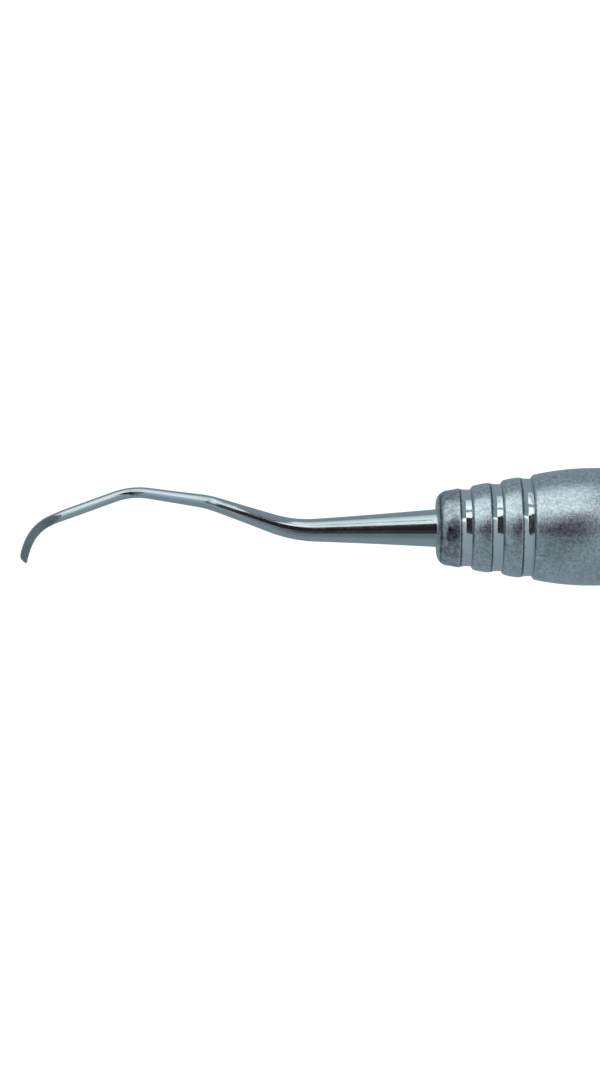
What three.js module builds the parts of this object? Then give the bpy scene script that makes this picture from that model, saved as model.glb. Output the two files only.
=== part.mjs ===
// Double-ended dental curette: a hollow satin-steel handle with a ringed ferrule pressed into
// each end, and a slim bent shank with a curved scaling blade brazed into each ferrule.
// Millimetres. +X runs along the handle axis, +Z is up, and the handle's centre is the origin.
// The shanks bend in the horizontal plane: the front end, at -X, curves to +Y and its blade
// hooks to -Y, and the rear end is its mirror-image partner, turned to the opposite side.

import * as THREE from 'three';

// Handle
const HANDLE_LENGTH = 105; // from one nose face to the other
const GRIP_DIAMETER = 10; // fattest section of each bulb
const BULB_AT = 13.3; // from the nose face to the fattest section
const WAIST_DIAMETER = 8.6; // middle of the handle
const BARREL_WALL = 0.9; // thinnest wall of the hollow barrel, at the waist

// Nose of the handle: three satin lands parted by three polished ring grooves
const NOSE_DIAMETER = 6.4; // behind the rounded corner of the nose face
const NOSE_CORNER = 1.05; // radius of that corner
const FIRST_GROOVE_AT = 2; // from the nose face
const GROOVE_COUNT = 3;
const GROOVE_PITCH = 2.575;
const GROOVE_WIDTH = 1.1;
const GROOVE_DEPTH = 0.1; // below the edge on its nose side
const GROOVE_WALL = 0.2; // length of the wall on the nose side
const GROOVE_FLOOR = 0.6; // length of the floor
const FLOOR_RISE = 0.04; // of the floor, along its length
const LAND_RISE = 0.22; // from one edge of a groove to the other
const FIRST_LAND_DIAMETER = 6.72; // at the first groove
const LAND_GROWTH = 0.445; // in radius, from one groove to the next

// Ferrule inside the barrel, and the braze in its bore
const SPIGOT_LENGTH = 9;
const SPIGOT_CHAMFER = 0.4;
const PRESS_CLEARANCE = 0.02; // radial, spigot in barrel and ring in its recess
const SEAM_GAP = 0.02; // along the axis, between ferrule shoulder and barrel
const TANG_LENGTH = 14;
const TANG_CLEARANCE = 0.03; // radial, for the brazing alloy
const BRAZE_RING_AT = 5; // from the nose face
const BRAZE_RING_WIDTH = 1;
const BRAZE_RING_WALL = 0.3;

// Shank: straight legs with a bend after each. Heading is the angle from the handle axis in
// the bend plane, and tilt is the angle out of that plane, both in degrees.
const SHANK_ROOT_DIAMETER = 3.22;
const SHANK_SLIM_DIAMETER = 0.9;
const TAPER_LENGTH = 27.6; // along the shank, from the nose face
const TAPER_POWER = 1.7;
const LEGS = [
  { length: 12.1, heading: -0.5, tilt: 0, bendRadius: 11 },
  { length: 4.6, heading: 19.1, tilt: 3, bendRadius: 6 },
  { length: 3, heading: 19.1, tilt: -3, bendRadius: 8 },
  { length: 6.84, heading: 8.8, tilt: -10, bendRadius: 4.8 },
  { length: 6.74, heading: -19.8, tilt: 12, bendRadius: 0 },
];

// Blade: a smooth hook from the last leg, its face on the inside and its flanks ground flat
const BLADE_REACH = 2.97; // from heel to toe along the handle axis
const BLADE_DROP = 3.83; // from heel to toe across the handle axis
const BLADE_SHIFT = 0.1; // from heel to toe out of the bend plane
const HEEL_PULL = 2; // how far the hook keeps to the shank's direction
const TOE_PULL = 2.1; // how far it keeps to the toe's direction
const TOE_HEADING = -79; // in degrees
const HEEL_HEIGHT = 0.86; // face to back
const TOE_HEIGHT = 0.68;
const HEEL_WIDTH = 0.92; // from cutting edge to cutting edge
const TOE_WIDTH = 0.64;
const FLANK_ANGLE = 4; // each flank leans in to the back, in degrees
const TOE_LENGTH = 0.6; // rounded end
const TOE_BLUNTNESS = 0.12; // share of the section that is left at the very end
const HEEL_BLEND = 1.1; // length over which the round shank becomes the blade section

// Fineness of the round surfaces
const HANDLE_SIDES = 32;
const SHANK_SIDES = 20;
const CORNER_STEPS = 3;
const BARREL_STEPS = 7;
const BEND_STEPS = 5;
const BLADE_STEPS = 16;

// Sizes that follow from the ones above
const GROOVE_FLOOR_END = GROOVE_WALL + GROOVE_FLOOR;
const SEAM_AT = FIRST_GROOVE_AT + (GROOVE_COUNT - 1) * GROOVE_PITCH + GROOVE_FLOOR_END;
const BARREL_BORE_RADIUS = WAIST_DIAMETER / 2 - BARREL_WALL;
const SPIGOT_RADIUS = BARREL_BORE_RADIUS - PRESS_CLEARANCE;
const SPIGOT_END = SEAM_AT + SPIGOT_LENGTH;
const TANG_RADIUS = SHANK_ROOT_DIAMETER / 2;
const TANG_BORE_RADIUS = TANG_RADIUS + TANG_CLEARANCE;

const SATIN_STEEL = { color: 0xa9b3b6, roughness: 0.55, metalness: 1 };
const POLISHED_STEEL = { color: 0xc3cbce, roughness: 0.12, metalness: 1 };
const BRAZING_ALLOY = { color: 0xc2b58a, roughness: 0.4, metalness: 1 };

const degrees = (angle) => (angle * Math.PI) / 180;

function piece(name, geometry, finish) {
  const mesh = new THREE.Mesh(geometry, new THREE.MeshStandardMaterial(finish));
  mesh.name = name;
  return mesh;
}

// ---- Turned pieces: a profile of (radius, distance along the axis), spun about +X ----

// The flats of the spun piece lie on the true radius and face +Y, -Y, +Z and -Z, so pieces
// that fit in one another keep their clearance all round.
function turned(profile) {
  const overFlats = 1 / Math.cos(Math.PI / HANDLE_SIDES);
  const points = profile.map((spot) => new THREE.Vector2(spot.x * overFlats, spot.y));
  const geometry = new THREE.LatheGeometry(points, HANDLE_SIDES, Math.PI / HANDLE_SIDES);
  return geometry.rotateZ(-Math.PI / 2);
}

const grooveAt = (index) => FIRST_GROOVE_AT + index * GROOVE_PITCH;
const edgeRadius = (index) => FIRST_LAND_DIAMETER / 2 + index * LAND_GROWTH;

// From the sharp edge on the nose side, down the short wall and along the hollow floor.
function cutGroove(profile, index) {
  const at = grooveAt(index);
  const edge = edgeRadius(index);
  const floor = edge - GROOVE_DEPTH;
  profile.lineTo(edge, at);
  profile.lineTo(floor, at + GROOVE_WALL);
  profile.lineTo(floor + FLOOR_RISE, at + GROOVE_FLOOR_END);
}

function ferruleGeometry() {
  const noseRadius = NOSE_DIAMETER / 2;
  const recessRadius = TANG_BORE_RADIUS + BRAZE_RING_WALL;
  const recessEnd = BRAZE_RING_AT + BRAZE_RING_WIDTH;
  const profile = new THREE.Path();
  profile.moveTo(TANG_BORE_RADIUS, 0);
  profile.lineTo(noseRadius - NOSE_CORNER, 0);
  profile.absarc(noseRadius - NOSE_CORNER, NOSE_CORNER, NOSE_CORNER, -Math.PI / 2, 0, false);
  for (let index = 0; index < GROOVE_COUNT; index += 1) {
    cutGroove(profile, index);
    if (index < GROOVE_COUNT - 1) {
      profile.lineTo(edgeRadius(index) + LAND_RISE, grooveAt(index) + GROOVE_WIDTH);
    }
  }
  profile.lineTo(SPIGOT_RADIUS, SEAM_AT);
  profile.lineTo(SPIGOT_RADIUS, SPIGOT_END - SPIGOT_CHAMFER);
  profile.lineTo(SPIGOT_RADIUS - SPIGOT_CHAMFER, SPIGOT_END);
  profile.lineTo(TANG_BORE_RADIUS, SPIGOT_END);
  profile.lineTo(TANG_BORE_RADIUS, recessEnd);
  profile.lineTo(recessRadius, recessEnd);
  profile.lineTo(recessRadius, BRAZE_RING_AT);
  profile.lineTo(TANG_BORE_RADIUS, BRAZE_RING_AT);
  profile.closePath();
  return turned(profile.getPoints(CORNER_STEPS));
}

function brazeRingGeometry() {
  const inner = TANG_BORE_RADIUS;
  const outer = TANG_BORE_RADIUS + BRAZE_RING_WALL - PRESS_CLEARANCE;
  const start = BRAZE_RING_AT + SEAM_GAP;
  const end = BRAZE_RING_AT + BRAZE_RING_WIDTH - SEAM_GAP;
  const profile = new THREE.Path();
  profile.moveTo(inner, start);
  profile.lineTo(outer, start);
  profile.lineTo(outer, end);
  profile.lineTo(inner, end);
  profile.closePath();
  return turned(profile.getPoints());
}

// The barrel's outside from its front edge, over the bulb and down to the waist, which is
// mirrored to the rear edge, and a straight bore.
function barrelGeometry() {
  const lastGroove = GROOVE_COUNT - 1;
  const edge = edgeRadius(lastGroove) + LAND_RISE;
  const edgeAt = grooveAt(lastGroove) + GROOVE_WIDTH;
  const grip = GRIP_DIAMETER / 2;
  const waist = WAIST_DIAMETER / 2;
  const middle = HANDLE_LENGTH / 2;
  const ease = (middle - BULB_AT) / 2;
  const half = new THREE.Path();
  half.moveTo(edgeRadius(lastGroove) - GROOVE_DEPTH + FLOOR_RISE, SEAM_AT + SEAM_GAP);
  half.lineTo(edge, edgeAt);
  half.quadraticCurveTo(grip, (edgeAt + BULB_AT) / 2, grip, BULB_AT);
  half.bezierCurveTo(grip, BULB_AT + ease, waist, BULB_AT + ease, waist, middle);
  const outside = half.getPoints(BARREL_STEPS);
  const front = outside.map((spot) => new THREE.Vector2(spot.x, spot.y - middle));
  const rear = front.slice(0, -1).reverse().map((spot) => new THREE.Vector2(spot.x, -spot.y));
  const boreFront = new THREE.Vector2(BARREL_BORE_RADIUS, front[0].y);
  const boreRear = new THREE.Vector2(BARREL_BORE_RADIUS, -front[0].y);
  return turned([boreFront, ...front, ...rear, boreRear, boreFront]);
}

// ---- Working end: a round blank, drawn along the bent centreline and ground at its end ----

function direction(heading, tilt) {
  const flat = Math.cos(degrees(tilt));
  return new THREE.Vector3(
    -Math.cos(degrees(heading)) * flat,
    Math.sin(degrees(heading)) * flat,
    Math.sin(degrees(tilt)),
  );
}

// Straight runs and bends from the tang to the heel, then the hook of the blade.
function centreline() {
  const curves = [new THREE.LineCurve3(new THREE.Vector3(TANG_LENGTH, 0, 0), new THREE.Vector3())];
  let from = new THREE.Vector3();
  let corner = new THREE.Vector3();
  LEGS.forEach((leg, index) => {
    const along = direction(leg.heading, leg.tilt);
    corner = corner.clone().addScaledVector(along, leg.length);
    const next = LEGS[index + 1];
    if (!next) {
      curves.push(new THREE.LineCurve3(from, corner));
      return;
    }
    const after = direction(next.heading, next.tilt);
    const setback = leg.bendRadius * Math.tan(along.angleTo(after) / 2);
    const bendStart = corner.clone().addScaledVector(along, -setback);
    const bendEnd = corner.clone().addScaledVector(after, setback);
    curves.push(new THREE.LineCurve3(from, bendStart));
    curves.push(new THREE.QuadraticBezierCurve3(bendStart, corner, bendEnd));
    from = bendEnd;
  });
  const lastLeg = LEGS[LEGS.length - 1];
  const heel = corner;
  const toe = heel.clone().add(new THREE.Vector3(-BLADE_REACH, -BLADE_DROP, BLADE_SHIFT));
  curves.push(
    new THREE.CubicBezierCurve3(
      heel,
      heel.clone().addScaledVector(direction(lastLeg.heading, lastLeg.tilt), HEEL_PULL),
      toe.clone().addScaledVector(direction(TOE_HEADING, 0), -TOE_PULL),
      toe,
    ),
  );
  return curves;
}

// One station every bend or blade step: where it is, which way it points, how far along the
// shank it is from the nose face, and how far along the blade it is, from 0 to 1.
function stations() {
  const list = [];
  let fromNose = -TANG_LENGTH;
  const curves = centreline();
  curves.forEach((curve, order) => {
    const isBlade = order === curves.length - 1;
    const straight = curve.isLineCurve3;
    const steps = isBlade ? BLADE_STEPS : straight ? 1 : BEND_STEPS;
    const length = curve.getLength();
    for (let step = list.length ? 1 : 0; step <= steps; step += 1) {
      const share = step / steps;
      list.push({
        at: curve.getPointAt(share),
        along: curve.getTangentAt(share),
        fromNose: fromNose + share * length,
        onBlade: isBlade ? share : 0,
        toToe: isBlade ? (1 - share) * length : Infinity,
        pastHeel: isBlade ? share * length : 0,
      });
    }
    fromNose += length;
  });
  return list;
}

function shankRadius(fromNose) {
  const share = THREE.MathUtils.clamp(1 - fromNose / TAPER_LENGTH, 0, 1);
  const spare = SHANK_ROOT_DIAMETER - SHANK_SLIM_DIAMETER;
  return (SHANK_SLIM_DIAMETER + spare * share ** TAPER_POWER) / 2;
}

// Distance from the middle of the blade section to its outline: a round back, two flat
// flanks that lean in towards it, and a flat face. The angle is measured from the back.
function bladeRadius(angle, height, width) {
  const away = Math.abs(angle);
  const flankNormal = Math.PI / 2 - degrees(FLANK_ANGLE);
  const flankDistance =
    (width / 2) * Math.sin(flankNormal) - (height / 2) * Math.cos(flankNormal);
  const flankFacing = Math.cos(away - flankNormal);
  const faceFacing = -Math.cos(away);
  const back = away < flankNormal ? height / 2 : Infinity;
  const flank = flankFacing > 0 ? flankDistance / flankFacing : Infinity;
  const face = faceFacing > 0 ? height / 2 / faceFacing : Infinity;
  return Math.min(back, flank, face);
}

// Hand is +1, or -1 for the mirror-image partner.
function workingEndGeometry(hand) {
  const list = stations();
  const overFlats = 1 / Math.cos(Math.PI / SHANK_SIDES);
  const blank = new THREE.CylinderGeometry(
    1, 1, 1, SHANK_SIDES, list.length - 1, false, Math.PI / SHANK_SIDES,
  );
  const up = new THREE.Vector3(0, 0, 1);
  const vertex = new THREE.Vector3();
  const spots = blank.attributes.position;
  for (let index = 0; index < spots.count; index += 1) {
    vertex.fromBufferAttribute(spots, index);
    const station = list[Math.round((0.5 - vertex.y) * (list.length - 1))];
    const reach = Math.hypot(vertex.x, vertex.z);
    const angle = hand * Math.atan2(vertex.x, vertex.z);
    const side = up.clone().addScaledVector(station.along, -up.dot(station.along)).normalize();
    const back = new THREE.Vector3().crossVectors(side, station.along).negate();
    const height = THREE.MathUtils.lerp(HEEL_HEIGHT, TOE_HEIGHT, station.onBlade);
    const width = THREE.MathUtils.lerp(HEEL_WIDTH, TOE_WIDTH, station.onBlade);
    const ground = THREE.MathUtils.clamp(station.pastHeel / HEEL_BLEND, 0, 1);
    const round = shankRadius(station.fromNose) * overFlats;
    const blade = bladeRadius(angle, height, width);
    const radius = THREE.MathUtils.lerp(round, blade, ground) * reach;
    const inToe = THREE.MathUtils.clamp(1 - station.toToe / TOE_LENGTH, 0, 1);
    const fullness = Math.max(Math.sqrt(1 - inToe * inToe), TOE_BLUNTNESS);
    const face = -height / 2;
    const backward = face + (radius * Math.cos(angle) - face) * fullness;
    const sideways = radius * Math.sin(angle) * fullness;
    vertex.copy(station.at).addScaledVector(back, backward).addScaledVector(side, sideways);
    spots.setXYZ(index, vertex.x, vertex.y, hand * vertex.z);
  }
  return blank;
}

// ---- Assembly ----

// Everything at one end of the handle, built with its nose face at the local origin.
function instrumentEnd(name, hand) {
  const end = new THREE.Group();
  end.add(piece(`${name}_ferrule`, ferruleGeometry(), SATIN_STEEL));
  end.add(piece(`${name}_braze_ring`, brazeRingGeometry(), BRAZING_ALLOY));
  end.add(piece(`${name}_working_end`, workingEndGeometry(hand), POLISHED_STEEL));
  return end;
}

const instrument = new THREE.Group();
instrument.add(piece('handle_barrel', barrelGeometry(), SATIN_STEEL));

const front = instrumentEnd('front', 1);
front.position.x = -HANDLE_LENGTH / 2;
instrument.add(front);

const rear = instrumentEnd('rear', -1);
rear.position.x = HANDLE_LENGTH / 2;
rear.rotation.z = Math.PI;
instrument.add(rear);

export default instrument;
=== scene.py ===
# %% [markdown]
# # A double-ended dental curette
# The real instrument is a fat hollow handle of bead-blasted steel, with three bright ring
# grooves at each nose and a slim polished shank that bends three times and ends in a tiny
# curved blade. Its CAD frame gives every place and size. This lesson makes the surfaces:
# round pieces by spinning an outline, and the working ends as a toolmaker does, straight
# first, then ground flat, then bent.

# %% Load the frame
import math

import bpy
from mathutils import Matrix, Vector


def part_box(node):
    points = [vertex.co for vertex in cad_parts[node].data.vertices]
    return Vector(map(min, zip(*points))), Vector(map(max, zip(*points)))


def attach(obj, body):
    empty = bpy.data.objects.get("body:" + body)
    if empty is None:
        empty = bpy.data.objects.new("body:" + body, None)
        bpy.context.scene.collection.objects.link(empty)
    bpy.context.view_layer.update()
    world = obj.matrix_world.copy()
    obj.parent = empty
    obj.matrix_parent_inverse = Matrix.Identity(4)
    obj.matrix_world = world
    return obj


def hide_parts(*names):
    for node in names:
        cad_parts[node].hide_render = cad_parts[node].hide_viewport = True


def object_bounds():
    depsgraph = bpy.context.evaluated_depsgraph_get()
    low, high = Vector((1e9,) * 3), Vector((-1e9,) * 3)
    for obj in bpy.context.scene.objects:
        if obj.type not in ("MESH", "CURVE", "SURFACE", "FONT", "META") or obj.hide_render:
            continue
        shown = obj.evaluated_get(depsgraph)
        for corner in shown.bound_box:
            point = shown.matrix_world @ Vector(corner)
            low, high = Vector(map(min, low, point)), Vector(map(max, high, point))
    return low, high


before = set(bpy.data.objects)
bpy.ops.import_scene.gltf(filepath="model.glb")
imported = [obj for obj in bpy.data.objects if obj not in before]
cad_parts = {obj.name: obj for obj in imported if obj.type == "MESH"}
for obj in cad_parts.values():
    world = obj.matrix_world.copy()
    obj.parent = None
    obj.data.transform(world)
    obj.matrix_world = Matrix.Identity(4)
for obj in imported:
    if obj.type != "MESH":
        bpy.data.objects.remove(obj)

MM = 0.001
cad_low, cad_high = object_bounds()
print("nodes:", sorted(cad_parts))
print("overall size in mm:", [round(side / MM, 2) for side in cad_high - cad_low])

# %% [markdown]
# Every place along the handle is counted from a nose face, which is where the shank leaves
# the handle. The two nose faces are the outer ends of the two ferrules, so the frame's boxes
# give them, and the handle's length and thickness too.

# %% Places from the frame
front_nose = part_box("front_ferrule")[0].x
rear_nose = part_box("rear_ferrule")[1].x
ferrule_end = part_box("front_ferrule")[1].x - front_nose
barrel_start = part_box("handle_barrel")[0].x - front_nose
grip_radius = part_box("handle_barrel")[1].z
half_handle = (rear_nose - front_nose) / 2
tang_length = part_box("front_working_end")[1].x - front_nose
print("nose faces at", front_nose, rear_nose, "grip radius", grip_radius)

# %% [markdown]
# ## Turning round pieces
# A lathe makes the handle, and Blender's lathe is the spin operator. A single vertex is
# placed at the start of the outline, extruded from point to point, and the finished outline
# is spun once round the X axis. An outline drawn this way keeps each edge where it was
# drawn, which a scaled cylinder would not.

# %% A lathe
MERGE_DISTANCE = 0.0001 * MM


def select_only(piece):
    """Leave this piece as the only one selected, and active."""
    bpy.ops.object.select_all(action="DESELECT")
    piece.select_set(True)
    bpy.context.view_layer.objects.active = piece


def start_at(name, spot):
    """A piece of one vertex at a spot, left in edit mode."""
    bpy.ops.object.select_all(action="DESELECT")
    bpy.ops.mesh.primitive_plane_add(size=MM, location=(0, 0, 0))
    piece = bpy.context.object
    piece.name = name
    bpy.ops.object.mode_set(mode="EDIT")
    bpy.ops.mesh.select_mode(type="VERT")
    bpy.ops.mesh.merge(type="CENTER")
    bpy.ops.transform.translate(value=spot)
    return piece


def turn(name, outline, sides):
    """Spin an outline of (distance along X, radius) points, in metres, round the X axis."""
    piece = start_at(name, (outline[0][0], 0, outline[0][1]))
    for before, after in zip(outline, outline[1:]):
        step = (after[0] - before[0], 0, after[1] - before[1])
        bpy.ops.mesh.extrude_vertices_move(TRANSFORM_OT_translate={"value": step})
    bpy.ops.mesh.select_all(action="SELECT")
    bpy.ops.mesh.remove_doubles(threshold=MERGE_DISTANCE)
    bpy.ops.mesh.spin(steps=sides, angle=math.tau, center=(0, 0, 0), axis=(1, 0, 0))
    bpy.ops.mesh.select_all(action="SELECT")
    bpy.ops.mesh.remove_doubles(threshold=MERGE_DISTANCE)
    bpy.ops.mesh.normals_make_consistent(inside=False)
    bpy.ops.object.mode_set(mode="OBJECT")
    print(name, "turned:", len(piece.data.vertices), "vertices")
    return piece


# %% [markdown]
# Outlines are drawn with three small pens: one for a round corner, one for a gentle bow
# between two points, and one for a straight stretch. A straight stretch beside a bend gets
# points of its own, because smooth shading would bend its light otherwise.

# %% Pens for an outline
def corner(centre, radius, start, end, steps):
    """Points on an arc about centre, with angles in degrees from the X axis."""
    points = []
    for step in range(steps + 1):
        angle = math.radians(start + (end - start) * step / steps)
        points.append((centre[0] + radius * math.cos(angle), centre[1] + radius * math.sin(angle)))
    return points


def bow(start, middle, end, steps):
    """Points on a smooth curve from start to end that leans towards the middle point."""
    points = []
    for step in range(steps + 1):
        t = step / steps
        a, b, c = (1 - t) ** 2, 2 * t * (1 - t), t * t
        points.append(tuple(a * s + b * m + c * e for s, m, e in zip(start, middle, end)))
    return points


def straight_run(start, end, steps):
    """Points on a straight line after its start, close together to keep its shading flat."""
    return bow(start, tuple((s + e) / 2 for s, e in zip(start, end)), end, steps)[1:]


# %% [markdown]
# ## The nose of the handle
# The nose is a cone of three satin lands, each a little fatter than the one before. Between
# them the grooves are cut after blasting, so they are bright. A groove is not symmetric: it
# has a gentle slope on the nose side, a level floor, and a tall wall on the side of the
# grip. All of it is one ferrule, whose spigot sits inside the barrel.

# %% Sizes of the nose, in mm
NOSE_RADIUS = 3.2
NOSE_CORNER = 1.05
TANG_BORE_RADIUS = 1.64
SPIGOT_RADIUS = 3.38
SPIGOT_CHAMFER = 0.4
SEAM_GAP = 0.02
FIRST_LAND_RADIUS = 3.36
LAND_GROWTH = 0.445
LAND_RISE = 0.22
LAND_BOW = 0.035
EDGE_ROUND = 0.05

# %% [markdown]
# A groove is given by distances from its nose-side edge. First comes a small step that the
# cutter leaves, then the slope, then the floor, with a soft turn between the two.

# %% Sizes of a groove, in mm
GROOVE_COUNT = 3
FIRST_GROOVE = 1.92
GROOVE_PITCH = 2.575
GROOVE_DEPTH = 0.1
STEP_LENGTH = 0.06
STEP_DEPTH = 0.035
FLOOR_START = 0.45
FLOOR_TURN = 0.05
FLOOR_END = 0.98
GROOVE_LENGTH = 1.18
SLOPE = (GROOVE_DEPTH - STEP_DEPTH) / (FLOOR_START - STEP_LENGTH)
BROW_STEPS, TURN_STEPS, STRETCH_STEPS = 5, 6, 8


def groove_at(index):
    """Where a groove starts, past the nose face."""
    return FIRST_GROOVE + index * GROOVE_PITCH


def land_radius(index):
    """Radius of the land on the nose side of a groove."""
    return FIRST_LAND_RADIUS + index * LAND_GROWTH


def groove_floor(index):
    """Nose-side edge, small step, gentle slope and level floor of one groove."""
    at, edge = groove_at(index), land_radius(index)
    step = (at + STEP_LENGTH, edge - STEP_DEPTH)
    foot = (at + FLOOR_START, edge - GROOVE_DEPTH)
    slope_end = (foot[0] - FLOOR_TURN, foot[1] + SLOPE * FLOOR_TURN)
    level = (foot[0] + FLOOR_TURN, foot[1])
    brow = bow((at - EDGE_ROUND, edge), (at + EDGE_ROUND / 2, edge), step, BROW_STEPS)
    slope = straight_run(step, slope_end, STRETCH_STEPS)
    turned = bow(slope_end, foot, level, TURN_STEPS)[1:]
    return brow + slope + turned + straight_run(level, (at + FLOOR_END, foot[1]), STRETCH_STEPS)


def groove_wall(index):
    """Tall wall on the grip side of a groove, rounded over at its top edge."""
    at, foot = groove_at(index), land_radius(index) - GROOVE_DEPTH
    top = land_radius(index) + LAND_RISE
    start = (at + FLOOR_END, foot)
    over = (at + GROOVE_LENGTH - EDGE_ROUND, top)
    crown = (at + GROOVE_LENGTH + 2 * EDGE_ROUND, top + EDGE_ROUND / 4)
    return bow(start, over, crown, STRETCH_STEPS)[1:]


print("grooves start at", [round(groove_at(index), 2) for index in range(GROOVE_COUNT)])

# %% [markdown]
# The ferrule's outline runs from the tang's bore over the round nose, three grooves and the
# lands between them, down the seam to the spigot, and back along the bore. Both ferrules are
# the same piece, so the rear one is the same outline drawn from the other nose face.

# %% Turn both ferrules
HANDLE_SIDES = 160
NOSE_STEPS = 16


def ferrule_outline():
    """The closed outline of a ferrule, in mm from its nose face."""
    face = NOSE_RADIUS - NOSE_CORNER
    points = [(0, TANG_BORE_RADIUS)]
    points += corner((NOSE_CORNER, face), NOSE_CORNER, 180, 90, NOSE_STEPS)
    for index in range(GROOVE_COUNT):
        points += groove_floor(index)
        if index < GROOVE_COUNT - 1:
            wall = groove_wall(index)
            edge = (groove_at(index + 1) - EDGE_ROUND, land_radius(index + 1))
            crest = ((wall[-1][0] + edge[0]) / 2, (wall[-1][1] + edge[1]) / 2 + 2 * LAND_BOW)
            points += wall + bow(wall[-1], crest, edge, STRETCH_STEPS)[1:-1]
    end = ferrule_end / MM
    seam = barrel_start / MM - SEAM_GAP
    points = [spot for spot in points if spot[0] < seam] + [
        (seam, points[-1][1]),
        (seam, SPIGOT_RADIUS),
        (end - SPIGOT_CHAMFER, SPIGOT_RADIUS),
        (end, SPIGOT_RADIUS - SPIGOT_CHAMFER),
        (end, TANG_BORE_RADIUS),
        (0, TANG_BORE_RADIUS),
    ]
    return points


def from_nose(points, nose, direction):
    """Outline points in mm from a nose face, as metres along X."""
    return [(nose + direction * along * MM, radius * MM) for along, radius in points]


front_ferrule = turn("front_nose", from_nose(ferrule_outline(), front_nose, 1), HANDLE_SIDES)
rear_ferrule = turn("rear_nose", from_nose(ferrule_outline(), rear_nose, -1), HANDLE_SIDES)

# %% [markdown]
# ## The barrel
# The barrel begins on the floor of the last groove, just before the foot of its wall, where
# the corner hides the seam. It swells to the grip's full radius 13 mm behind the nose face
# and eases down to a slimmer waist in the middle. The second half is the first one mirrored,
# and a straight bore runs through.

# %% Turn the barrel
GRIP_AT = 13.3
WAIST_RADIUS = 4.3
BARREL_BORE_RADIUS = 3.4
SWELL_STEPS, WAIST_STEPS = 24, 40
LAST_GROOVE = GROOVE_COUNT - 1
grip = grip_radius / MM
half_length = half_handle / MM


def ease(start, end, steps):
    """Points from start to end that leave and arrive level."""
    points = []
    for step in range(1, steps + 1):
        t = step / steps
        share = t * t * (3 - 2 * t)
        points.append((start[0] + (end[0] - start[0]) * t, start[1] + (end[1] - start[1]) * share))
    return points


def barrel_outline():
    """The closed outline of the barrel, in metres about the middle of the handle."""
    wall = groove_wall(LAST_GROOVE)
    floor_radius = land_radius(LAST_GROOVE) - GROOVE_DEPTH
    seam = (barrel_start / MM, floor_radius)
    foot = (groove_at(LAST_GROOVE) + FLOOR_END, floor_radius)
    swell_from = ((groove_at(LAST_GROOVE) + GROOVE_LENGTH + GRIP_AT) / 2, grip)
    half = [seam, foot] + wall + bow(wall[-1], swell_from, (GRIP_AT, grip), SWELL_STEPS)[1:]
    half += ease((GRIP_AT, grip), (half_length, WAIST_RADIUS), WAIST_STEPS)
    front = [(along - half_length, radius) for along, radius in half]
    rear = [(-along, radius) for along, radius in reversed(front[:-1])]
    bore = [(rear[-1][0], BARREL_BORE_RADIUS), (front[0][0], BARREL_BORE_RADIUS)]
    return [(along * MM, radius * MM) for along, radius in front + rear + bore + front[:1]]


barrel = turn("grip_barrel", barrel_outline(), HANDLE_SIDES)

# %% [markdown]
# ## A working end, still straight
# Tang, shank and blade are one forging. It starts as a straight round bar: full thickness in
# the ferrule, then thinner and thinner up to the last bend, and a rounded end. It is turned
# like the handle. X counts from the tang's end, and the outline is densest at the blade.

# %% Sizes of the straight bar, in mm
SHANK_ROOT = 3.22
SHANK_SLIM = 0.9
TAPER_LENGTH = 27.6
TAPER_POWER = 1.7
LEGS = [
    {"length": 12.1, "heading": -0.5, "tilt": 0, "bend": 11},
    {"length": 4.6, "heading": 19.1, "tilt": 3, "bend": 6},
    {"length": 3, "heading": 19.1, "tilt": -3, "bend": 8},
    {"length": 6.84, "heading": 8.8, "tilt": -10, "bend": 4.8},
    {"length": 6.74, "heading": -19.8, "tilt": 12, "bend": 0},
]
HOOK_REACH = 2.97
HOOK_DROP = 3.83
HOOK_SHIFT = 0.1
HEEL_PULL = 2.0
TOE_PULL = 2.1
TOE_HEADING = -79
tang = tang_length / MM
print("tang", round(tang, 2), "mm, legs", [leg["length"] for leg in LEGS])


def shank_radius(past_nose):
    """The taper: full at the nose face and behind it, slim from the last bend on."""
    share = min(max(1 - past_nose / TAPER_LENGTH, 0), 1)
    return (SHANK_SLIM + (SHANK_ROOT - SHANK_SLIM) * share**TAPER_POWER) / 2


# %% [markdown]
# A bar is bent evenly only if the line that guides it has evenly spaced points, so a route
# with long straights and dense bends is walked again with steps of one length.

# %% Even steps along a route
def evenly(points, spacing):
    """The same route with a point every spacing millimetres, and one at its end."""
    route, left = [points[0]], spacing
    for start, end in zip(points, points[1:]):
        gone, length = 0.0, (end - start).length
        while length - gone >= left:
            gone += left
            route.append(start.lerp(end, gone / length))
            left = spacing
        left -= length - gone
    return route + [points[-1]]


print("steps of 2 along 5 mm:", [spot.x for spot in evenly([Vector(), Vector((5, 0, 0))], 2)])

# %% [markdown]
# The bends decide how long the bar has to be, so the centreline comes first. It has five
# straight legs. Each has a heading in the bend plane and a tilt out of it, and each corner
# between two legs is rounded to its bend radius. The hook of the blade is a cubic curve.

# %% The bent centreline
BEND_STEPS = 24
HOOK_STEPS = 60
ROUTE_SPACING = 0.1


def direction(heading, tilt):
    """The way a leg points, with both angles in degrees."""
    heading, tilt = math.radians(heading), math.radians(tilt)
    flat = math.cos(tilt)
    return Vector((-math.cos(heading) * flat, math.sin(heading) * flat, math.sin(tilt)))


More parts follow.
